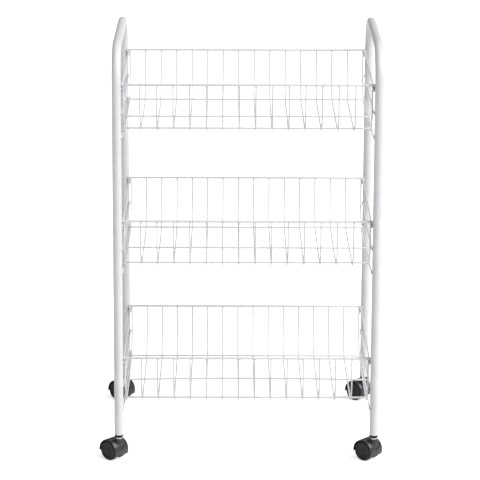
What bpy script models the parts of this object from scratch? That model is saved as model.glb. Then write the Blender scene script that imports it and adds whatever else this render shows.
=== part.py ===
"""Three-tier wire basket trolley on twin-wheel casters.

Metres, +Z up, floor at Z = 0. The front of the trolley faces -Y.
"""

import math

import bmesh
import bpy
from mathutils import Matrix, Vector

# Side frames: one bent tube each, with three rails per tier
LEG_X = 0.2245
LEG_Y = 0.172
LEG_FOOT_Z = 0.0478
FOOT_RING_Z = 0.052
FRAME_TOP_Z = 0.7348
FRAME_BEND_R = 0.062
TUBE_R = 0.008
TUBE_WALL = 0.0014
RAIL_R = 0.0015
RAIL_X = 0.2163
RAIL_DROPS = (0.007, 0.049, 0.091)

# Baskets
RIM_HEIGHTS = {"top": 0.6729, "middle": 0.4330, "bottom": 0.1859}
U_WIRES = 16
U_PITCH = 0.02838
WIRE_R = 0.0014
WALL_Y = 0.1665
BASKET_DEPTHS = {"top": 0.0890, "middle": 0.0895, "bottom": 0.090}
BASKET_BEND_R = 0.054
FRONT_RIM_R = 0.0023
BACK_RIM_R = 0.002
RIM_HALF = 0.2163
LONG_WIRE_R = 0.00175
FRONT_EDGE_ANGLES = {"top": math.radians(24), "middle": math.radians(27), "bottom": math.radians(30)}
BACK_EDGE_ANGLE = math.radians(17)
MID_WIRE_Y = -0.013
MID_WIRE_BOWS = {"top": 0.0, "middle": 0.0, "bottom": 0.008}

# Hook plates that hang the baskets on the top rails
HOOK_Y = (0.1627, 0.1651)
HOOK_X = (0.2116, 0.2199)
HOOK_SLOT = 0.0019
HOOK_TOP = 0.0012
HOOK_DROP = 0.0115

# Casters
WHEEL_R = 0.018
WHEEL_SIDES = 20
WHEEL_SPAN = (0.0064, 0.0163)
HOOD_GAP = 0.0008
HOOD_R = 0.0203
HOOD_HALF = 0.0165
WEB_HALF = 0.0059
TRAIL = 0.013
TRAIL_YAW = math.radians(139)
AXLE_R = 0.002
AXLE_HALF = 0.0145
STEM_R = 0.004
STEM_Z = (0.024, 0.078)
FLANGE_R = 0.0055
FLANGE_Z = (0.0403, 0.0428)
BOSS_R = 0.0075
BOSS_TOP = 0.0400
COLLAR_Z = (0.0436, 0.0475)
PLUG_TOP = 0.080
FIT_GAP = 0.0003

CORNERS = {
    "front_left": (-1, -1),
    "front_right": (1, -1),
    "rear_left": (-1, 1),
    "rear_right": (1, 1),
}

COLOURS = {
    "powder_coat": ((0.86, 0.86, 0.87), 0.38, 0.0),
    "hood_plastic": ((0.035, 0.035, 0.040), 0.45, 0.0),
    "wheel_plastic": ((0.022, 0.022, 0.024), 0.50, 0.0),
    "plug_plastic": ((0.015, 0.015, 0.016), 0.55, 0.0),
    "steel": ((0.62, 0.62, 0.62), 0.28, 1.0),
}


def clear_scene():
    for obj in list(bpy.data.objects):
        bpy.data.objects.remove(obj, do_unlink=True)


def paint(obj, finish):
    colour, roughness, metallic = COLOURS[finish]
    material = bpy.data.materials.new(obj.name + "_" + finish)
    material.use_nodes = True
    shader = material.node_tree.nodes["Principled BSDF"]
    shader.inputs["Base Color"].default_value = (*colour, 1.0)
    shader.inputs["Roughness"].default_value = roughness
    shader.inputs["Metallic"].default_value = metallic
    obj.data.materials.clear()
    obj.data.materials.append(material)


def sweep(bm, path, radius, sides, across):
    """One closed rod along a flat path. ACROSS is the normal of the path's plane."""
    across = Vector(across)
    steps = [(b - a).normalized() for a, b in zip(path, path[1:])]
    rings = []
    for i, point in enumerate(path):
        before = steps[max(i - 1, 0)]
        after = steps[min(i, len(steps) - 1)]
        along = (before + after).normalized()
        side = across.cross(along) / along.dot(before)
        ring = []
        for k in range(sides):
            turn = 2 * math.pi * (k + 0.5) / sides
            ring.append(bm.verts.new(point + radius * (math.cos(turn) * side + math.sin(turn) * across)))
        rings.append(ring)
    for low, high in zip(rings, rings[1:]):
        for k in range(sides):
            bm.faces.new((low[k - 1], low[k], high[k], high[k - 1]))
    return rings


def rod(bm, path, radius, sides, across):
    rings = sweep(bm, path, radius, sides, across)
    bm.faces.new(rings[0][::-1])
    bm.faces.new(rings[-1])


def pipe(bm, path, radius, wall, sides, across):
    outer = sweep(bm, path, radius, sides, across)
    inner = sweep(bm, path, radius - wall, sides, across)
    for ring, bore in ((outer[0], inner[0]), (outer[-1], inner[-1])):
        for k in range(sides):
            bm.faces.new((ring[k - 1], ring[k], bore[k], bore[k - 1]))


def arc(centre, radius, start, end, count, u, v):
    """COUNT + 1 points about CENTRE, from angle START to END in the plane of U and V."""
    angles = [start + (end - start) * k / count for k in range(count + 1)]
    return [centre + radius * (math.cos(a) * Vector(u) + math.sin(a) * Vector(v)) for a in angles]


def lathe(bm, profile, sides):
    """A closed solid turned about Z. PROFILE is (radius, z) points, up the outside and down the bore."""
    verts = [bm.verts.new((r, 0.0, z)) for r, z in profile]
    edges = [bm.edges.new((a, b)) for a, b in zip(verts, verts[1:] + verts[:1])]
    bmesh.ops.spin(
        bm,
        geom=verts + edges,
        cent=(0, 0, 0),
        axis=(0, 0, 1),
        angle=2 * math.pi,
        steps=sides,
        use_merge=True,
    )
    bmesh.ops.remove_doubles(bm, verts=bm.verts, dist=1e-7)


def prism(bm, outline, low, high, origin, u, v, w):
    """OUTLINE, (u, v) points counter-clockwise, extruded along W from LOW to HIGH."""
    u, v, w, origin = Vector(u), Vector(v), Vector(w), Vector(origin)
    ends = [[bm.verts.new(origin + a * u + b * v + c * w) for a, b in outline] for c in (low, high)]
    bm.faces.new(ends[0][::-1])
    bm.faces.new(ends[1])
    for k in range(len(outline)):
        bm.faces.new((ends[0][k - 1], ends[0][k], ends[1][k], ends[1][k - 1]))


def mesh_object(name, build, smooth=False):
    bm = bmesh.new()
    build(bm)
    bmesh.ops.recalc_face_normals(bm, faces=bm.faces)
    mesh = bpy.data.meshes.new(name)
    bm.to_mesh(mesh)
    bm.free()
    obj = bpy.data.objects.new(name, mesh)
    bpy.context.scene.collection.objects.link(obj)
    if smooth:
        shade(mesh)
    return obj


def shade(mesh):
    mesh.shade_smooth()
    mesh.set_sharp_from_angle(angle=math.radians(35))


def combined(name, base, steps):
    """BASE with each (operation, other) carried out on it, as one plain mesh."""
    for operation, other in steps:
        modifier = base.modifiers.new(operation.lower(), "BOOLEAN")
        modifier.operation = operation
        modifier.solver = "EXACT"
        modifier.object = other
    graph = bpy.context.evaluated_depsgraph_get()
    mesh = bpy.data.meshes.new_from_object(base.evaluated_get(graph))
    mesh.name = name
    shade(mesh)
    for obj in [base] + [other for _, other in steps]:
        bpy.data.objects.remove(obj, do_unlink=True)
    return mesh


def place(name, mesh, finish, location=(0, 0, 0), yaw=0.0):
    obj = bpy.data.objects.new(name, mesh.copy())
    bpy.context.scene.collection.objects.link(obj)
    obj.location = location
    obj.rotation_euler = (0, 0, yaw)
    paint(obj, finish)
    return obj


# Side frames


def frame_path():
    bend_y = LEG_Y - FRAME_BEND_R
    bend_z = FRAME_TOP_Z - FRAME_BEND_R
    up = math.pi / 2
    front = arc(Vector((0, -bend_y, bend_z)), FRAME_BEND_R, math.pi, up, 6, (0, 1, 0), (0, 0, 1))
    rear = arc(Vector((0, bend_y, bend_z)), FRAME_BEND_R, up, 0, 6, (0, 1, 0), (0, 0, 1))
    ends = [(-LEG_Y, LEG_FOOT_Z), (-LEG_Y, FOOT_RING_Z), (LEG_Y, FOOT_RING_Z), (LEG_Y, LEG_FOOT_Z)]
    ends = [Vector((0, y, z)) for y, z in ends]
    return ends[:2] + front + rear + ends[2:]


def frame_mesh(side):
    """SIDE is -1 for the left frame and 1 for the right. Its rails are on the inner side of the tube."""
    tube = mesh_object("tube", lambda bm: pipe(bm, frame_path(), TUBE_R, TUBE_WALL, 14, (1, 0, 0)))

    def rails(bm):
        x = side * (RAIL_X - LEG_X)
        for rim_z in RIM_HEIGHTS.values():
            for drop in RAIL_DROPS:
                ends = [Vector((x, y, rim_z - drop)) for y in (-LEG_Y, LEG_Y)]
                rod(bm, ends, RAIL_R, 6, (0, 0, 1))

    return combined("side_frame", tube, [("UNION", mesh_object("rails", rails))])


# Baskets, with the rims at Z = 0


def u_path(tier):
    bend_y = WALL_Y - BASKET_BEND_R
    bend_z = BASKET_BEND_R - BASKET_DEPTHS[tier]
    down = 1.5 * math.pi
    front = arc(Vector((0, -bend_y, bend_z)), BASKET_BEND_R, math.pi, down, 4, (0, 1, 0), (0, 0, 1))
    back = arc(Vector((0, bend_y, bend_z)), BASKET_BEND_R, down, 2 * math.pi, 4, (0, 1, 0), (0, 0, 1))
    return [Vector((0, -WALL_Y, 0))] + front + back + [Vector((0, WALL_Y, 0))]


def u_wires(bm, tier):
    for k in range(U_WIRES):
        shift = Vector(((k - (U_WIRES - 1) / 2) * U_PITCH, 0, 0))
        rod(bm, [point + shift for point in u_path(tier)], WIRE_R, 6, (1, 0, 0))


def edge_wire_yz(tier, angle, side):
    """Where a long wire lies against the inside of a floor bend."""
    reach = BASKET_BEND_R - 1.8 * WIRE_R
    y = side * (WALL_Y - BASKET_BEND_R + reach * math.sin(angle))
    z = BASKET_BEND_R - BASKET_DEPTHS[tier] - reach * math.cos(angle)
    return y, z


def long_wires(bm, tier):
    """Both rims, then the three wires under the goods. A bowed wire sags back at mid-span."""
    half = (U_WIRES - 1) / 2 * U_PITCH + WIRE_R
    floor_z = 1.8 * WIRE_R - BASKET_DEPTHS[tier]
    wires = [
        (RIM_HALF, FRONT_RIM_R, 8, (-WALL_Y, 0), 0.0),
        (RIM_HALF, BACK_RIM_R, 6, (WALL_Y, 0), 0.0),
        (half, LONG_WIRE_R, 6, edge_wire_yz(tier, FRONT_EDGE_ANGLES[tier], -1), 0.0),
        (half, LONG_WIRE_R, 6, (MID_WIRE_Y, floor_z), MID_WIRE_BOWS[tier]),
        (half, LONG_WIRE_R, 6, edge_wire_yz(tier, BACK_EDGE_ANGLE, 1), 0.0),
    ]
    for reach, radius, sides, (y, z), bow in wires:
        pieces = 8 if bow else 1
        along = [2 * k / pieces - 1 for k in range(pieces + 1)]
        path = [Vector((t * reach, y + bow * (1 - t * t), z)) for t in along]
        rod(bm, path, radius, sides, (0, 0, 1))


def hooks(bm):
    """Four upright plates, each slotted from below to drop over a top rail."""
    slot_top = RAIL_R + FIT_GAP - RAIL_DROPS[0]
    outline = [
        (HOOK_X[0], -HOOK_DROP),
        (RAIL_X - HOOK_SLOT, -HOOK_DROP),
        (RAIL_X - HOOK_SLOT, slot_top),
        (RAIL_X + HOOK_SLOT, slot_top),
        (RAIL_X + HOOK_SLOT, -HOOK_DROP),
        (HOOK_X[1], -HOOK_DROP),
        (HOOK_X[1], HOOK_TOP),
        (HOOK_X[0], HOOK_TOP),
    ]
    for x in (-1, 1):
        for y in (-1, 1):
            prism(bm, outline, HOOK_Y[0], HOOK_Y[1], (0, 0, 0), (x, 0, 0), (0, 0, 1), (0, y, 0))


def basket_mesh(tier):
    uprights = mesh_object("uprights", lambda bm: u_wires(bm, tier))
    lengthwise = mesh_object("long_wires", lambda bm: long_wires(bm, tier))
    return combined("basket", uprights, [("UNION", lengthwise), ("UNION", mesh_object("hooks", hooks))])


# Casters, with the stem on the Z axis and the wheels trailing along +X


def turned(bm, profile, sides, centre, axis, phase=0.0):
    """A lathe shape about AXIS through CENTRE, first turned by PHASE about its own axis."""
    piece = bmesh.new()
    lathe(piece, profile, sides)
    mesh = bpy.data.meshes.new("turned")
    piece.to_mesh(mesh)
    piece.free()
    turn = Vector((0, 0, 1)).rotation_difference(Vector(axis)).to_matrix().to_4x4()
    mesh.transform(Matrix.Translation(centre) @ turn @ Matrix.Rotation(phase, 4, "Z"))
    bm.from_mesh(mesh)
    bpy.data.meshes.remove(mesh)


def hood_mesh():
    """A curved guard over both wheels, on a central web that carries the axle and the stem."""
    hub = Vector((TRAIL, 0, WHEEL_R))
    inner = WHEEL_R + HOOD_GAP
    start, end = math.radians(-8), math.radians(205)
    guard = [(p.x, p.z) for p in arc(hub, HOOD_R, start, end, 12, (1, 0, 0), (0, 0, 1))]
    guard += [(p.x, p.z) for p in arc(hub, inner, end, start, 12, (1, 0, 0), (0, 0, 1))]
    reach = inner + 0.0006
    fill = [(p.x, p.z) for p in arc(hub, reach, start, end, 12, (1, 0, 0), (0, 0, 1))]
    basis = ((0, 0, 0), (1, 0, 0), (0, 0, 1), (0, 1, 0))
    shell = mesh_object("guard", lambda bm: prism(bm, guard, -HOOD_HALF, HOOD_HALF, *basis))
    web = mesh_object("web", lambda bm: prism(bm, fill, -WEB_HALF, WEB_HALF, *basis))
    stem_hole = STEM_R + FIT_GAP
    axle_hole = AXLE_R + FIT_GAP
    lower = [(0, 0.020), (BOSS_R, 0.020), (BOSS_R, BOSS_TOP), (0, BOSS_TOP)]
    boss = mesh_object("boss", lambda bm: lathe(bm, lower, 20))
    limit = [(-0.02, 0.0), (0.05, 0.0), (0.05, 0.05), (-0.02, 0.05)]
    trim = mesh_object("trim", lambda bm: prism(bm, limit, -WEB_HALF, WEB_HALF, *basis))
    trimmed = combined("boss_core", boss, [("INTERSECT", trim)])
    core = bpy.data.objects.new("core", trimmed)
    upper = [(0, 0.0335), (BOSS_R, 0.0335), (BOSS_R, BOSS_TOP), (0, BOSS_TOP)]
    top = mesh_object("boss_top", lambda bm: lathe(bm, upper, 20))
    bpy.context.scene.collection.objects.link(core)
    floor = STEM_Z[0] - FIT_GAP
    upright = [(0, floor), (stem_hole, floor), (stem_hole, 0.06), (0, 0.06)]
    bore = mesh_object("bore", lambda bm: lathe(bm, upright, 16))
    level = [(0, -0.02), (axle_hole, -0.02), (axle_hole, 0.02), (0, 0.02)]
    cross = mesh_object("cross", lambda bm: turned(bm, level, 16, hub, (0, 1, 0)))
    return combined(
        "hood",
        shell,
        [("UNION", web), ("UNION", core), ("UNION", top), ("DIFFERENCE", bore), ("DIFFERENCE", cross)],
    )


def wheel_mesh(side):
    """A wheel about the Y axis, closed on its outer face and blind-bored from the inside.

    It stands on a flat of its tread, which is WHEEL_R from the axle.
    """
    low, high = WHEEL_SPAN
    half_step = math.pi / WHEEL_SIDES
    tread = WHEEL_R / math.cos(half_step)
    bore = AXLE_R + FIT_GAP
    bore_end = AXLE_HALF + FIT_GAP
    edge = 0.0012
    profile = [
        (bore, low),
        (tread - edge, low),
        (tread, low + edge),
        (tread, high - edge),
        (tread - edge, high),
        (tread - 0.0035, high),
        (tread - 0.0040, high - 0.0006),
        (0, high - 0.0006),
        (0, bore_end),
        (bore, bore_end),
    ]
    centre = Vector((0, 0, 0))
    wheel = mesh_object(
        "wheel", lambda bm: turned(bm, profile, WHEEL_SIDES, centre, (0, side, 0), half_step)
    )
    mesh = wheel.data.copy()
    bpy.data.objects.remove(wheel)
    shade(mesh)
    return mesh


def plain(name, build):
    obj = mesh_object(name, build, smooth=True)
    mesh = obj.data.copy()
    bpy.data.objects.remove(obj)
    return mesh


def axle(bm):
    profile = [(0, -AXLE_HALF), (AXLE_R, -AXLE_HALF), (AXLE_R, AXLE_HALF), (0, AXLE_HALF)]
    turned(bm, profile, 12, Vector((0, 0, 0)), (0, 1, 0))


def stem(bm):
    low, high = STEM_Z
    profile = [
        (0, low),
        (STEM_R, low),
        (STEM_R, FLANGE_Z[0]),
        (FLANGE_R, FLANGE_Z[0]),
        (FLANGE_R, FLANGE_Z[1]),
        (STEM_R, FLANGE_Z[1]),
        (STEM_R, high - 0.002),
        (STEM_R - 0.0015, high),
        (0, high),
    ]
    lathe(bm, profile, 14)


def plug(bm):
    """The collar seen under the leg, and the sleeve that grips the stem inside the tube."""
    bore = STEM_R + FIT_GAP
    sleeve = (TUBE_R - TUBE_WALL) * math.cos(math.pi / 14) - FIT_GAP
    profile = [
        (bore, COLLAR_Z[0]),
        (TUBE_R - 0.0008, COLLAR_Z[0]),
        (TUBE_R, COLLAR_Z[0] + 0.0008),
        (TUBE_R, COLLAR_Z[1]),
        (sleeve, COLLAR_Z[1]),
        (sleeve, PLUG_TOP),
        (bore, PLUG_TOP),
    ]
    lathe(bm, profile, 14)


def build_casters():
    hood = hood_mesh()
    wheels = {"outer": wheel_mesh(1), "inner": wheel_mesh(-1)}
    pin = plain("axle", axle)
    post = plain("stem", stem)
    sleeve = plain("plug", plug)
    for corner, (x, y) in CORNERS.items():
        foot = Vector((x * LEG_X, y * LEG_Y, 0))
        hub = foot + TRAIL * Vector((math.cos(TRAIL_YAW), math.sin(TRAIL_YAW), 0))
        hub.z = WHEEL_R
        place("leg_plug_" + corner, sleeve, "plug_plastic", foot, TRAIL_YAW)
        place("caster_stem_" + corner, post, "steel", foot, TRAIL_YAW)
        place("caster_hood_" + corner, hood, "hood_plastic", foot, TRAIL_YAW)
        place("caster_axle_" + corner, pin, "steel", hub, TRAIL_YAW)
        for which, mesh in wheels.items():
            place(f"wheel_{which}_{corner}", mesh, "wheel_plastic", hub, TRAIL_YAW)


def main():
    clear_scene()
    place("side_frame_left", frame_mesh(-1), "powder_coat", (-LEG_X, 0, 0))
    place("side_frame_right", frame_mesh(1), "powder_coat", (LEG_X, 0, 0))
    for tier, rim_z in RIM_HEIGHTS.items():
        place("basket_" + tier, basket_mesh(tier), "powder_coat", (0, 0, rim_z))
    build_casters()


main()
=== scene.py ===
"""A three-tier wire basket trolley in white powder coat, on four twin-wheel casters."""

import math

import bmesh
import bpy
from mathutils import Matrix, Vector


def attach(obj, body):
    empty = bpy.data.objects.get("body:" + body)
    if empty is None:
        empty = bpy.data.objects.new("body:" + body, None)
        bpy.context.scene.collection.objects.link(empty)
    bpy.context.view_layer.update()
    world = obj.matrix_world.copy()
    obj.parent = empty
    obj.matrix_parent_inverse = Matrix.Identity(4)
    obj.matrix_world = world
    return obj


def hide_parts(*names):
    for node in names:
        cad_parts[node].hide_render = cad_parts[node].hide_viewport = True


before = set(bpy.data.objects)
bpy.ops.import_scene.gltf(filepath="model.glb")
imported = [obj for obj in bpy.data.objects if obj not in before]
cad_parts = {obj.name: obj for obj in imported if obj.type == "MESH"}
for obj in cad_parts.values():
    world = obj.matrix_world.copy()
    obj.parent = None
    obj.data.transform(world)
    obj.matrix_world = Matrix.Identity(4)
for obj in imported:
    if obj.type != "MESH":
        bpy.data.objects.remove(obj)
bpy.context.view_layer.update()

# Sizes in metres, as in the CAD solids. The front of the trolley faces -Y.

LEG_X = 0.2245
LEG_Y = 0.172
LEG_FOOT = 0.0478
TUBE_TOP = 0.73458
TUBE_BEND = 0.062
TUBE_RADIUS = 0.008
TUBE_WALL = 0.0014
TUBE_BORE_DEPTH = 0.032

RAIL_X = 0.2163
RAIL_RADIUS = 0.0015
RAIL_DROPS = (0.007, 0.049, 0.091)

RIMS = {"top": 0.6729, "middle": 0.4330, "bottom": 0.1859}
CROSS_WIRES = 16
CROSS_PITCH = 0.02838
WIRE_RADIUS = 0.0014
WALL_Y = 0.1665
BASKET_DEPTHS = {"top": 0.0890, "middle": 0.0895, "bottom": 0.090}
BASKET_BEND = 0.054
FRONT_RIM_RADIUS = 0.0023
LONG_WIRE_RADIUS = 0.00175
BACK_RIM_RADIUS = 0.002
RIM_HALF = 0.2163
FRONT_LOW_ANGLES = {"top": math.radians(24), "middle": math.radians(27), "bottom": math.radians(30)}
BACK_LOW_ANGLE = math.radians(17)
MIDDLE_WIRE_Y = -0.013
MIDDLE_WIRE_BOWS = {"top": 0.0, "middle": 0.0, "bottom": 0.008}
HOOK_Y = (0.1627, 0.1651)
HOOK_X = (0.2116, 0.2199)
HOOK_SLOT = 0.0019
HOOK_TOP = 0.0012
HOOK_DROP = 0.0115
HOOK_CLEARANCE = 0.0003
HOOK_CORNER = 0.0008

WHEEL_RADIUS = 0.018
WHEEL_SPAN = (0.0064, 0.0163)
TRAIL = 0.013
TRAIL_YAW = math.radians(139)
HOOD_RADIUS = 0.0203
HOOD_INNER = 0.0188
HOOD_HALF = 0.0165
HOOD_START = math.radians(-8)
HOOD_END = math.radians(205)
WEB_HALF = 0.0059
AXLE_BORE = 0.0023
CORNERS = {
    "front_left": (-1, -1),
    "front_right": (1, -1),
    "rear_left": (-1, 1),
    "rear_right": (1, 1),
}

X = Vector((1, 0, 0))
Y = Vector((0, 1, 0))
Z = Vector((0, 0, 1))


# Mesh helpers


def verts_in(geom):
    return [g for g in geom if isinstance(g, bmesh.types.BMVert)]


def edges_in(geom):
    return [g for g in geom if isinstance(g, bmesh.types.BMEdge)]


def ring_at(bm, centre, along, radius, sides):
    """The edges of a circle round CENTRE, square to ALONG: the first section of a rod."""
    place = Matrix.Translation(centre) @ along.to_track_quat("Z", "Y").to_matrix().to_4x4()
    made = bmesh.ops.create_circle(bm, cap_ends=False, radius=radius, segments=sides, matrix=place)
    return list({edge for vert in made["verts"] for edge in vert.link_edges})


def straight(bm, ring, step):
    """Draws the open end RING on by STEP and returns the new end."""
    made = bmesh.ops.extrude_edge_only(bm, edges=ring)["geom"]
    moved = verts_in(made)
    bmesh.ops.translate(bm, verts=moved, vec=step)
    moved = set(moved)
    return [edge for edge in edges_in(made) if set(edge.verts) <= moved]


def bent(bm, ring, centre, axis, angle, steps):
    """Sweeps the open end RING round AXIS through CENTRE and returns the new end."""
    geom = ring + list({vert for edge in ring for vert in edge.verts})
    made = bmesh.ops.spin(
        bm, geom=geom, cent=centre, axis=axis, dvec=(0, 0, 0), angle=angle, steps=steps
    )
    return edges_in(made["geom_last"])


def closed_end(bm, ring, rounding=0.0, segments=2):
    """Fills the open end RING with a face, and rounds its edge."""
    face = bmesh.ops.contextual_create(bm, geom=ring)["faces"][0]
    if rounding:
        bmesh.ops.bevel(
            bm,
            geom=list(face.edges),
            offset=rounding,
            segments=segments,
            profile=0.5,
            affect="EDGES",
            material=-1,
        )
    return face


def rod(bm, start, end, radius, sides, rounding=0.4):
    """A straight round bar with eased ends."""
    step = end - start
    first = ring_at(bm, start, step, radius, sides)
    last = straight(bm, first, step)
    closed_end(bm, first, radius * rounding)
    closed_end(bm, last, radius * rounding)


def bead(bm, centre, size, turn=None):
    """A small lump of weld under the paint. SIZE is its half length along each axis."""
    place = Matrix.Translation(centre)
    if turn is not None:
        place = place @ turn
    place = place @ Matrix.Diagonal((*size, 1.0))
    bmesh.ops.create_icosphere(bm, subdivisions=1, radius=1.0, matrix=place)


def turned(bm, profile, steps, axis=Z, centre=(0, 0, 0), side=X):
    """A profile of (radius, height) points spun full circle about AXIS."""
    centre = Vector(centre)
    points = [bm.verts.new(centre + side * r + axis * h) for r, h in profile]
    edges = [bm.edges.new(pair) for pair in zip(points, points[1:])]
    bmesh.ops.spin(
        bm,
        geom=points + edges,
        cent=centre,
        axis=axis,
        dvec=(0, 0, 0),
        angle=math.tau,
        steps=steps,
        use_merge=True,
    )
    bmesh.ops.remove_doubles(bm, verts=bm.verts[:], dist=1e-6)


def made_piece(name, build, finish, smooth_angle=40):
    """The object NAME with the mesh that BUILD makes, at the origin."""
    bm = bmesh.new()
    build(bm)
    bmesh.ops.recalc_face_normals(bm, faces=bm.faces[:])
    mesh = bpy.data.meshes.new(name)
    bm.to_mesh(mesh)
    bm.free()
    mesh.materials.append(finish)
    mesh.shade_smooth()
    mesh.set_sharp_from_angle(angle=math.radians(smooth_angle))
    piece = bpy.data.objects.new(name, mesh)
    bpy.context.scene.collection.objects.link(piece)
    return piece


def stand_in(piece, body, slot, *nodes):
    """PIECE rides on BODY, in the place of the CAD solids NODES."""
    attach(piece, body)
    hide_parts(*nodes)
    return piece


# Shader groups


def socket(group, name, kind, into, value=None):
    in_out = "INPUT" if into else "OUTPUT"
    made = group.interface.new_socket(name=name, in_out=in_out, socket_type=kind)
    if value is not None:
        made.default_value = value
    return made


def new_group(name):
    group = bpy.data.node_groups.new(name, "ShaderNodeTree")
    return group, group.nodes, group.links


def node(nodes, kind, label="", **values):
    made = nodes.new(kind)
    made.label = label
    for key, value in values.items():
        if hasattr(made, key):
            setattr(made, key, value)
        else:
            made.inputs[key].default_value = value
    return made


def noise(nodes, links, coords, scale, detail, label):
    made = node(nodes, "ShaderNodeTexNoise", label)
    made.inputs["Scale"].default_value = scale
    made.inputs["Detail"].default_value = detail
    links.new(coords, made.inputs["Vector"])
    return made.outputs["Fac"]


def mapped(nodes, links, value, low, high, to_low, to_high, label=""):
    made = node(nodes, "ShaderNodeMapRange", label)
    for name, number in (
        ("From Min", low),
        ("From Max", high),
        ("To Min", to_low),
        ("To Max", to_high),
    ):
        if isinstance(number, bpy.types.NodeSocket):
            links.new(number, made.inputs[name])
        else:
            made.inputs[name].default_value = number
    links.new(value, made.inputs["Value"])
    return made.outputs["Result"]


def maths(nodes, links, operation, a, b=None):
    made = node(nodes, "ShaderNodeMath", operation=operation)
    for k, value in enumerate((a, b)):
        if value is None:
            continue
        if isinstance(value, bpy.types.NodeSocket):
            links.new(value, made.inputs[k])
        else:
            made.inputs[k].default_value = value
    return made.outputs[0]


def mixed(nodes, links, share, a, b, label=""):
    made = node(nodes, "ShaderNodeMix", label, data_type="RGBA")
    for key, value in ((0, share), (6, a), (7, b)):
        if isinstance(value, bpy.types.NodeSocket):
            links.new(value, made.inputs[key])
        else:
            made.inputs[key].default_value = value
    return made.outputs[2]


def paint_skin():
    """Powder coat: fine orange peel, slightly uneven tone, and gloss that wanders a little."""
    group, nodes, links = new_group("powder skin")
    socket(group, "Tone", "NodeSocketColor", True, (0.8, 0.8, 0.8, 1))
    socket(group, "Shade", "NodeSocketColor", True, (0.7, 0.7, 0.7, 1))
    socket(group, "Gloss low", "NodeSocketFloat", True, 0.25)
    socket(group, "Gloss high", "NodeSocketFloat", True, 0.4)
    socket(group, "Colour", "NodeSocketColor", False)
    socket(group, "Roughness", "NodeSocketFloat", False)
    socket(group, "Height", "NodeSocketFloat", False)
    given = nodes.new("NodeGroupInput")
    out = nodes.new("NodeGroupOutput")
    coords = nodes.new("ShaderNodeTexCoord").outputs["Object"]
    cloud = noise(nodes, links, coords, 38, 3, "uneven cure")
    peel = noise(nodes, links, coords, 750, 2, "orange peel")
    speck = noise(nodes, links, coords, 2600, 1, "powder grain")
    share = mapped(nodes, links, cloud, 0.35, 0.65, 0.0, 1.0, "patches")
    colour = mixed(nodes, links, share, given.outputs["Tone"], given.outputs["Shade"])
    links.new(colour, out.inputs["Colour"])
    low, high = given.outputs["Gloss low"], given.outputs["Gloss high"]
    gloss = mapped(nodes, links, peel, 0.3, 0.7, low, high, "gloss")
    links.new(gloss, out.inputs["Roughness"])
    height = maths(nodes, links, "ADD", peel, maths(nodes, links, "MULTIPLY", speck, 0.25))
    links.new(height, out.inputs["Height"])
    return group


def moulded_skin():
    """Moulded plastic: spark-eroded grain, flow marks, and a grey bloom of handling and dust."""
    group, nodes, links = new_group("moulded skin")
    socket(group, "Body", "NodeSocketColor", True, (0.03, 0.03, 0.03, 1))
    socket(group, "Bloom", "NodeSocketColor", True, (0.08, 0.08, 0.08, 1))
    socket(group, "Dustiness", "NodeSocketFloat", True, 0.3)
    socket(group, "Smooth", "NodeSocketFloat", True, 0.35)
    socket(group, "Rough", "NodeSocketFloat", True, 0.55)
    socket(group, "Colour", "NodeSocketColor", False)
    socket(group, "Roughness", "NodeSocketFloat", False)
    socket(group, "Height", "NodeSocketFloat", False)
    given = nodes.new("NodeGroupInput")
    out = nodes.new("NodeGroupOutput")
    coords = nodes.new("ShaderNodeTexCoord").outputs["Object"]
    grain = noise(nodes, links, coords, 1900, 2, "spark grain")
    flow = noise(nodes, links, coords, 90, 4, "flow marks")
    dust = noise(nodes, links, coords, 420, 5, "dust")
    dusty = mapped(nodes, links, dust, 0.45, 0.75, 0.0, given.outputs["Dustiness"], "dust cover")
    patch = mapped(nodes, links, flow, 0.4, 0.7, 0.0, 0.5, "flow patches")
    share = maths(nodes, links, "MAXIMUM", dusty, patch)
    colour = mixed(nodes, links, share, given.outputs["Body"], given.outputs["Bloom"])
    links.new(colour, out.inputs["Colour"])
    low, high = given.outputs["Smooth"], given.outputs["Rough"]
    rough = mapped(nodes, links, flow, 0.3, 0.7, low, high, "sheen")
    links.new(rough, out.inputs["Roughness"])
    links.new(grain, out.inputs["Height"])
    return group


def bright_metal_skin():
    """Zinc-plated steel: turning marks round the part and a slight cloudiness."""
    group, nodes, links = new_group("plated skin")
    socket(group, "Bright", "NodeSocketColor", True, (0.7, 0.7, 0.7, 1))
    socket(group, "Dull", "NodeSocketColor", True, (0.5, 0.5, 0.5, 1))
    socket(group, "Colour", "NodeSocketColor", False)
    socket(group, "Roughness", "NodeSocketFloat", False)
    socket(group, "Height", "NodeSocketFloat", False)
    given = nodes.new("NodeGroupInput")
    out = nodes.new("NodeGroupOutput")
    coords = nodes.new("ShaderNodeTexCoord").outputs["Object"]
    stretch = node(nodes, "ShaderNodeMapping", "turning marks")
    stretch.inputs["Scale"].default_value = (1, 1, 14)
    links.new(coords, stretch.inputs["Vector"])
    marks = noise(nodes, links, stretch.outputs["Vector"], 320, 2, "marks")
    cloud = noise(nodes, links, coords, 160, 3, "cloud")
    colour = mixed(nodes, links, cloud, given.outputs["Bright"], given.outputs["Dull"])
    links.new(colour, out.inputs["Colour"])
    links.new(mapped(nodes, links, marks, 0.3, 0.7, 0.2, 0.38, "sheen"), out.inputs["Roughness"])
    links.new(marks, out.inputs["Height"])
    return group


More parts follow.
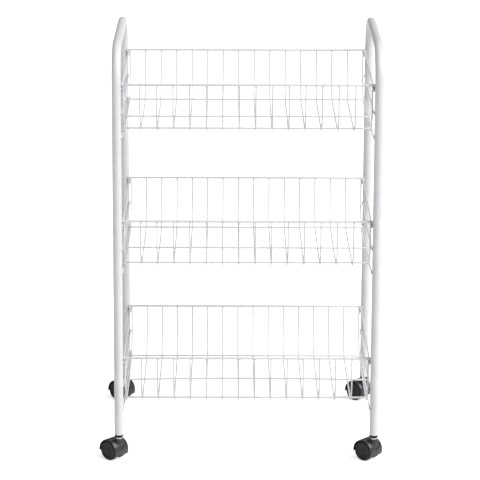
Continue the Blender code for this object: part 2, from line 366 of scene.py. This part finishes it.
def finish(name, skin, values, relief, reach, **shader):
    """A material: the shader NAME fed by the group SKIN, with RELIEF and REACH for its bump."""
    material = bpy.data.materials.new(name)
    material.use_nodes = True
    nodes, links = material.node_tree.nodes, material.node_tree.links
    body = nodes["Principled BSDF"]
    for key, value in shader.items():
        body.inputs[key.replace("_", " ")].default_value = value
    placed = nodes.new("ShaderNodeGroup")
    placed.node_tree = skin
    for key, value in values.items():
        placed.inputs[key].default_value = value
    bump = nodes.new("ShaderNodeBump")
    bump.inputs["Strength"].default_value = relief
    bump.inputs["Distance"].default_value = reach
    links.new(placed.outputs["Colour"], body.inputs["Base Color"])
    links.new(placed.outputs["Roughness"], body.inputs["Roughness"])
    links.new(placed.outputs["Height"], bump.inputs["Height"])
    links.new(bump.outputs["Normal"], body.inputs["Normal"])
    return material


powder_skin = paint_skin()
plastic_skin = moulded_skin()
plated_skin = bright_metal_skin()
white_powder = finish(
    "white powder coat",
    powder_skin,
    {
        "Tone": (0.68, 0.68, 0.695, 1),
        "Shade": (0.645, 0.645, 0.665, 1),
        "Gloss low": 0.26,
        "Gloss high": 0.42,
    },
    0.25,
    0.0001,
    Specular_IOR_Level=0.5,
)
hood_plastic = finish(
    "charcoal hood plastic",
    plastic_skin,
    {
        "Body": (0.014, 0.014, 0.018, 1),
        "Bloom": (0.034, 0.033, 0.042, 1),
        "Dustiness": 0.35,
        "Smooth": 0.28,
        "Rough": 0.42,
    },
    0.35,
    0.0001,
    Specular_IOR_Level=0.75,
)
wheel_plastic = finish(
    "black wheel plastic",
    plastic_skin,
    {
        "Body": (0.009, 0.009, 0.010, 1),
        "Bloom": (0.020, 0.020, 0.022, 1),
        "Dustiness": 0.25,
        "Smooth": 0.38,
        "Rough": 0.55,
    },
    0.3,
    0.0001,
    Specular_IOR_Level=0.35,
)
# Near-black plastic of the leg collars; the same material also lines the floor of the caster
# guard's V hollow as painted shade.
collar_plastic_and_painted_shade = finish(
    "black collar plastic and painted shade",
    plastic_skin,
    {
        "Body": (0.006, 0.006, 0.007, 1),
        "Bloom": (0.014, 0.014, 0.015, 1),
        "Dustiness": 0.2,
        "Smooth": 0.4,
        "Rough": 0.6,
    },
    0.25,
    0.0001,
    Specular_IOR_Level=0.25,
)
plated_steel = finish(
    "plated steel",
    plated_skin,
    {"Bright": (0.82, 0.82, 0.83, 1), "Dull": (0.66, 0.66, 0.67, 1)},
    0.1,
    0.00005,
    Metallic=1.0,
)


# Side frames


def bent_tube(bm, x):
    """One hollow tube: front leg, bend, top, bend, rear leg."""
    bend_y = LEG_Y - TUBE_BEND
    bend_z = TUBE_TOP - TUBE_BEND
    foot = ring_at(bm, Vector((x, -LEG_Y, LEG_FOOT)), Z, TUBE_RADIUS, 40)
    ring = straight(bm, foot, Z * (bend_z - LEG_FOOT))
    ring = bent(bm, ring, (x, -bend_y, bend_z), X, -math.pi / 2, 20)
    ring = straight(bm, ring, Y * (2 * bend_y))
    ring = bent(bm, ring, (x, bend_y, bend_z), X, -math.pi / 2, 20)
    ring = straight(bm, ring, Z * (LEG_FOOT - bend_z))
    for end in (foot, ring):
        face = closed_end(bm, end)
        inner = bmesh.ops.inset_individual(bm, faces=[face], thickness=TUBE_WALL)
        mouth = bmesh.ops.extrude_discrete_faces(bm, faces=[face])["faces"]
        bmesh.ops.translate(bm, verts=list(mouth[0].verts), vec=Z * TUBE_BORE_DEPTH)


def side_rails(bm, side):
    """Nine thin rails along the inside of a frame, three to a tier, welded to both legs."""
    x = side * RAIL_X
    for rim in RIMS.values():
        for drop in RAIL_DROPS:
            z = rim - drop
            rod(bm, Vector((x, -LEG_Y, z)), Vector((x, LEG_Y, z)), RAIL_RADIUS, 14)
            for y in (-LEG_Y, LEG_Y):
                toe = math.copysign(0.0042, y)
                bead(bm, Vector((x + side * 0.0006, y - toe, z)), (0.0020, 0.0034, 0.0023))
                bead(bm, Vector((x + side * 0.0006, y + toe * 0.6, z)), (0.0018, 0.0026, 0.0021))


for side, name in ((-1, "left"), (1, "right")):
    tube = made_piece(f"tube_{name}", lambda bm: bent_tube(bm, side * LEG_X), white_powder)
    rails = made_piece(f"rails_{name}", lambda bm: side_rails(bm, side), white_powder)
    for piece in (tube, rails):
        stand_in(piece, "frame", "powder_coat", f"side_frame_{name}")


# Baskets


def low_wire_yz(tier, angle, side):
    """Where a long wire lies on the inside of a floor bend, below the rim."""
    reach = BASKET_BEND - 1.8 * WIRE_RADIUS
    y = side * (WALL_Y - BASKET_BEND + reach * math.sin(angle))
    return y, BASKET_BEND - BASKET_DEPTHS[tier] - reach * math.cos(angle)


def long_wire_places(tier):
    """(y, z below the rim, bow to the rear at mid-span) of the three long wires under the goods."""
    front = low_wire_yz(tier, FRONT_LOW_ANGLES[tier], -1)
    back = low_wire_yz(tier, BACK_LOW_ANGLE, 1)
    middle = (MIDDLE_WIRE_Y, 1.8 * WIRE_RADIUS - BASKET_DEPTHS[tier])
    return [(*front, 0.0), (*middle, MIDDLE_WIRE_BOWS[tier]), (*back, 0.0)]


def cross_places():
    return [(k - (CROSS_WIRES - 1) / 2) * CROSS_PITCH for k in range(CROSS_WIRES)]


def cross_wires(bm, tier, rim):
    """Sixteen U-shaped wires: down the front, across the floor and up the back."""
    bend_y = WALL_Y - BASKET_BEND
    bend_z = rim - BASKET_DEPTHS[tier] + BASKET_BEND
    x = cross_places()[0]
    front = ring_at(bm, Vector((x, -WALL_Y, rim)), -Z, WIRE_RADIUS, 10)
    ring = straight(bm, front, Z * (bend_z - rim))
    ring = bent(bm, ring, (x, -bend_y, bend_z), X, math.pi / 2, 10)
    ring = straight(bm, ring, Y * (2 * bend_y))
    ring = bent(bm, ring, (x, bend_y, bend_z), X, math.pi / 2, 10)
    ring = straight(bm, ring, Z * (rim - bend_z))
    closed_end(bm, front)
    closed_end(bm, ring)
    first = bm.verts[:] + bm.edges[:] + bm.faces[:]
    for k in range(1, CROSS_WIRES):
        copy = bmesh.ops.duplicate(bm, geom=first)["geom"]
        bmesh.ops.translate(bm, verts=verts_in(copy), vec=X * CROSS_PITCH * k)


LONG_HALF = (CROSS_WIRES - 1) / 2 * CROSS_PITCH + 0.0022


def long_wires(bm, tier, rim):
    """The three wires along the floor. One that bows is swept about a far centre."""
    for y, z, bow in long_wire_places(tier):
        left = Vector((-LONG_HALF, y, rim + z))
        if not bow:
            rod(bm, left, left + X * 2 * LONG_HALF, LONG_WIRE_RADIUS, 12)
            continue
        radius = (LONG_HALF**2 + bow**2) / (2 * bow)
        centre = Vector((0, y + bow - radius, rim + z))
        half_angle = math.asin(LONG_HALF / radius)
        along = Vector((math.cos(half_angle), math.sin(half_angle), 0))
        first = ring_at(bm, left, along, LONG_WIRE_RADIUS, 12)
        last = bent(bm, first, centre, Z, -2 * half_angle, 30)
        closed_end(bm, first, LONG_WIRE_RADIUS * 0.4)
        closed_end(bm, last, LONG_WIRE_RADIUS * 0.4)


def rim_rods(bm, tier, rim):
    """The front rim and the slightly thinner back rim."""
    for y, radius in ((-WALL_Y, FRONT_RIM_RADIUS), (WALL_Y, BACK_RIM_RADIUS)):
        rod(bm, Vector((-RIM_HALF, y, rim)), Vector((RIM_HALF, y, rim)), radius, 20, 0.3)


def weld_beads(bm, tier, rim):
    """The lump of weld at each place where two wires cross."""
    for x in cross_places():
        for y, z, bow in long_wire_places(tier):
            y += bow * (1 - (x / LONG_HALF) ** 2)
            bead(bm, Vector((x, y, rim + z - 0.0012)), (0.0019, 0.0019, 0.0016))
        bead(bm, Vector((x, -WALL_Y, rim - FRONT_RIM_RADIUS)), (0.0019, 0.0020, 0.0016))
        bead(bm, Vector((x, WALL_Y, rim - BACK_RIM_RADIUS)), (0.0019, 0.0019, 0.0015))


def hook_plates(bm, tier, rim):
    """Four pressed plates under the rim ends, each slotted to drop over a top rail."""
    slot_top = RAIL_RADIUS + HOOK_CLEARANCE - RAIL_DROPS[0]
    outline = [
        (HOOK_X[0], -HOOK_DROP),
        (RAIL_X - HOOK_SLOT, -HOOK_DROP),
        (RAIL_X - HOOK_SLOT, slot_top),
        (RAIL_X + HOOK_SLOT, slot_top),
        (RAIL_X + HOOK_SLOT, -HOOK_DROP),
        (HOOK_X[1], -HOOK_DROP),
        (HOOK_X[1], HOOK_TOP),
        (HOOK_X[0], HOOK_TOP),
    ]
    for sx in (-1, 1):
        for sy in (-1, 1):
            points = [bm.verts.new((sx * x, sy * HOOK_Y[0], rim + z)) for x, z in outline]
            bmesh.ops.contextual_create(bm, geom=points)
            corners = [v for k, v in enumerate(points) if k not in (2, 3)]
            bmesh.ops.bevel(
                bm,
                geom=corners,
                offset=HOOK_CORNER,
                segments=3,
                profile=0.5,
                affect="VERTICES",
                material=-1,
            )
            face = points[2].link_faces[0]
            plate = bmesh.ops.extrude_face_region(bm, geom=[face])["geom"]
            bmesh.ops.translate(bm, verts=verts_in(plate), vec=Y * sy * (HOOK_Y[1] - HOOK_Y[0]))


for tier, rim in RIMS.items():
    parts = (
        ("cross_wires", cross_wires),
        ("long_wires", long_wires),
        ("rims", rim_rods),
        ("welds", weld_beads),
        ("hooks", hook_plates),
    )
    for part, build in parts:
        piece = made_piece(f"{tier}_{part}", lambda bm: build(bm, tier, rim), white_powder)
        stand_in(piece, "frame", "powder_coat", f"basket_{tier}")


# Casters. Each is built with its stem on the Z axis and its wheels trailing along +X,
# then turned and set under its leg.

HUB = Vector((TRAIL, 0, WHEEL_RADIUS))


def under_leg(bm, corner):
    """Turns a caster part to its resting yaw and moves it under its leg."""
    sx, sy = CORNERS[corner]
    turn = Matrix.Rotation(TRAIL_YAW, 3, "Z")
    bmesh.ops.rotate(bm, verts=bm.verts[:], cent=(0, 0, 0), matrix=turn)
    bmesh.ops.translate(bm, verts=bm.verts[:], vec=(sx * LEG_X, sy * LEG_Y, 0))


def on_hub(angle, radius, y=0.0):
    return HUB + Vector((radius * math.cos(angle), y, radius * math.sin(angle)))


def arched(bm, section, start, end, steps):
    """A closed (radius, width) SECTION swept about the hub from angle START to END."""
    points = [bm.verts.new(on_hub(start, radius, width)) for radius, width in section]
    face = bmesh.ops.contextual_create(bm, geom=points)["faces"][0]
    bmesh.ops.spin(
        bm,
        geom=[face],
        cent=HUB,
        axis=-Y,
        dvec=(0, 0, 0),
        angle=end - start,
        steps=steps,
        use_merge=False,
    )


RECESS_TOP = math.radians(126)
RECESS_POINT = math.radians(172)
RECESS_HALF = 0.0066
RECESS_DEPTH = 0.0011


def press_recess(bm):
    """Opens the pair of centre seams in the guard into a V-shaped hollow below the stem, and gives
    the faces along the centre seam, which widen into the floor of the hollow, the guard's second,
    near-black material as painted shade.
    """
    painted_shade_verts = set()
    for vert in bm.verts[:]:
        if abs(vert.co.y) > 0.001:
            continue
        out = Vector((vert.co.x, 0, vert.co.z)) - HUB
        angle = math.atan2(out.z, out.x) % math.tau
        side = math.copysign(1, vert.co.y)
        inner = abs(vert.co.y) < 0.0003
        if inner:
            painted_shade_verts.add(vert)
        if not RECESS_TOP <= angle <= RECESS_POINT:
            continue
        share = (RECESS_POINT - angle) / (RECESS_POINT - RECESS_TOP)
        step = Y * side * RECESS_HALF * share
        if inner:
            step = step * 0.93 - out.normalized() * RECESS_DEPTH * min(1.0, 4 * share)
        bmesh.ops.translate(bm, verts=[vert], vec=step)
    # Painted shade: faces on the centre seam, the floor of the V hollow, take the near-black second
    # material so the hollow reads dark.
    for face in bm.faces:
        if set(face.verts) <= painted_shade_verts:
            face.material_index = 1


def hood_guard(bm, corner):
    """The guard over both wheels: a thin arch with rounded shoulders and a V below the stem."""
    w, t, r = HOOD_HALF, HOOD_RADIUS, HOOD_INNER
    section = [
        (r, -w),
        (t - 0.0009, -w),
        (t - 0.0003, -w + 0.0003),
        (t, -w + 0.0011),
        (t, -0.0004),
        (t, -0.0002),
        (t, 0.0002),
        (t, 0.0004),
        (t, w - 0.0011),
        (t - 0.0003, w - 0.0003),
        (t - 0.0009, w),
        (r, w),
    ]
    arched(bm, section, HOOD_START, HOOD_END, 54)
    press_recess(bm)
    under_leg(bm, corner)


def hood_web(bm, corner):
    """The web between the wheels, from the axle out to the guard."""
    inner, outer = AXLE_BORE, HOOD_INNER + 0.0003
    section = [(inner, -WEB_HALF), (outer, -WEB_HALF), (outer, WEB_HALF), (inner, WEB_HALF)]
    arched(bm, section, HOOD_START, HOOD_END, 44)
    under_leg(bm, corner)


def stem_housing(bm, corner):
    """The boss that takes the stem, with a lip round its mouth."""
    profile = [
        (0.0043, 0.0236),
        (0.0043, 0.0392),
        (0.0050, 0.0399),
        (0.0066, 0.0399),
        (0.0073, 0.0395),
        (0.0075, 0.0387),
        (0.0075, 0.0338),
        (0.0058, 0.0330),
        (0.0058, 0.0236),
        (0.0043, 0.0236),
    ]
    turned(bm, profile, 40)
    under_leg(bm, corner)


def wheel(bm, corner, side):
    """A wheel: tread with eased shoulders, raised rim ring, dished face and low hub cap."""
    low, high = WHEEL_SPAN
    face = high - 0.0006
    profile = [
        (0.0, face - 0.0002),
        (0.0030, face - 0.0002),
        (0.0036, face - 0.0005),
        (0.0040, face - 0.0009),
        (0.0105, face - 0.0011),
        (0.0118, face - 0.0009),
        (0.0126, face - 0.0003),
        (0.0140, face - 0.0002),
        (0.0143, high),
        (0.0156, high),
        (0.0165, high - 0.0005),
        (0.0173, high - 0.0016),
        (0.0180, high - 0.0034),
        (0.0180, low + 0.0018),
        (0.0177, low + 0.0008),
        (0.0170, low + 0.0001),
        (0.0160, low),
        (AXLE_BORE, low),
        (AXLE_BORE, 0.0148),
        (0.0, 0.0148),
    ]
    turned(bm, profile, 64, Y * side, HUB, Z)
    under_leg(bm, corner)


def stem(bm, corner):
    """The plated stem with its bearing flange."""
    profile = [
        (0.0, 0.0240),
        (0.0036, 0.0240),
        (0.0040, 0.0244),
        (0.0040, 0.0403),
        (0.0058, 0.0403),
        (0.0062, 0.0406),
        (0.0062, 0.0425),
        (0.0058, 0.0428),
        (0.0040, 0.0430),
        (0.0040, 0.0760),
        (0.0025, 0.0780),
        (0.0, 0.0780),
    ]
    turned(bm, profile, 36)
    under_leg(bm, corner)


def leg_collar(bm, corner):
    """The plug in the foot of the leg: a lip under the tube end and a sleeve inside it."""
    profile = [
        (0.0043, 0.0437),
        (0.0062, 0.0437),
        (0.0071, 0.0441),
        (0.0075, 0.0449),
        (0.0076, 0.0457),
        (0.0081, 0.0462),
        (0.0083, 0.0469),
        (0.0081, 0.0475),
        (0.0061, 0.0476),
        (0.0061, 0.0792),
        (0.0057, 0.0800),
        (0.0043, 0.0800),
        (0.0043, 0.0437),
    ]
    turned(bm, profile, 40)
    under_leg(bm, corner)


for corner in CORNERS:
    body = f"caster_{corner}"
    for part, build in (("guard", hood_guard), ("web", hood_web), ("housing", stem_housing)):
        piece = made_piece(f"hood_{part}_{corner}", lambda bm: build(bm, corner), hood_plastic, 30)
        stand_in(piece, body, "hood_plastic", f"caster_hood_{corner}")
        # The guard's second material is the near-black collar plastic, which lines the floor of the
        # V hollow as painted shade.
        if part == "guard":
            piece.data.materials.append(collar_plastic_and_painted_shade)
    for part, side in (("outer", 1), ("inner", -1)):
        name = f"wheel_{part}_{corner}"
        piece = made_piece(f"rolling_{name}", lambda bm: wheel(bm, corner, side), wheel_plastic, 30)
        stand_in(piece, name, "wheel_plastic", name)
    piece = made_piece(f"stem_{corner}", lambda bm: stem(bm, corner), plated_steel, 35)
    stand_in(piece, "frame", "steel", f"caster_stem_{corner}")
    piece = made_piece(f"collar_{corner}", lambda bm: leg_collar(bm, corner), collar_plastic_and_painted_shade, 35)
    stand_in(piece, "frame", "plug_plastic", f"leg_plug_{corner}")
    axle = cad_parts[f"caster_axle_{corner}"]
    for slot in axle.material_slots:
        slot.material = plated_steel


# Floor, light and camera

FLOOR_RADIUS = 40.0
FLOOR_DROP = 0.0002
FLOOR_LIFT = 0.6

floor_paint = bpy.data.materials.new("pale floor")
floor_paint.use_nodes = True
floor_shader = floor_paint.node_tree.nodes["Principled BSDF"]
floor_shader.inputs["Base Color"].default_value = (0.93, 0.93, 0.93, 1)
floor_shader.inputs["Roughness"].default_value = 0.9
floor_shader.inputs["Specular IOR Level"].default_value = 0.1
floor_shader.inputs["Emission Color"].default_value = (1.0, 1.0, 1.0, 1)
floor_ray = floor_paint.node_tree.nodes.new("ShaderNodeLightPath")
lift = floor_paint.node_tree.nodes.new("ShaderNodeMath")
lift.label = "glow seen by the camera only, so that shadows stay pale"
lift.operation = "MULTIPLY"
lift.inputs[1].default_value = FLOOR_LIFT
floor_paint.node_tree.links.new(floor_ray.outputs["Is Camera Ray"], lift.inputs[0])
floor_paint.node_tree.links.new(lift.outputs[0], floor_shader.inputs["Emission Strength"])


def floor_disc(bm):
    below = Matrix.Translation((0, 0, -FLOOR_DROP))
    bmesh.ops.create_circle(bm, cap_ends=True, radius=FLOOR_RADIUS, segments=96, matrix=below)


floor = made_piece("floor", floor_disc, floor_paint)

world = bpy.data.worlds.new("studio")
bpy.context.scene.world = world
world.use_nodes = True
wall = world.node_tree.nodes["Background"]
ray = world.node_tree.nodes.new("ShaderNodeLightPath")
seen = world.node_tree.nodes.new("ShaderNodeMapRange")
seen.label = "bright wall behind, softer light from it"
seen.inputs["To Min"].default_value = 0.32
seen.inputs["To Max"].default_value = 1.0
world.node_tree.links.new(ray.outputs["Is Camera Ray"], seen.inputs["Value"])
world.node_tree.links.new(seen.outputs["Result"], wall.inputs["Strength"])
wall.inputs["Color"].default_value = (1.0, 1.0, 1.0, 1)

sky = bpy.data.lights.new("overhead softbox", "SUN")
sky.energy = 3.5
sky.angle = math.radians(45)
softbox = bpy.data.objects.new("overhead softbox", sky)
softbox.rotation_euler = Vector((-0.604, 0.321, -0.729)).to_track_quat("-Z", "Y").to_euler()
bpy.context.scene.collection.objects.link(softbox)

camera_data = bpy.data.cameras.new("camera")
camera_data.sensor_width = 36.0
camera_data.lens = 195.7
camera_data.clip_start = 0.1
camera_data.clip_end = 200.0
camera = bpy.data.objects.new("camera", camera_data)
bpy.context.scene.collection.objects.link(camera)
pitch, yaw, roll = 0.25382, 0.00505, 0.00355
camera.location = (-0.0347, -4.5385, 1.5343)
camera.rotation_euler = (
    Matrix.Rotation(-yaw, 3, "Z")
    @ Matrix.Rotation(math.pi / 2 - pitch, 3, "X")
    @ Matrix.Rotation(roll, 3, "Z")
).to_euler()
bpy.context.scene.camera = camera
bpy.context.scene.view_settings.view_transform = "Standard"
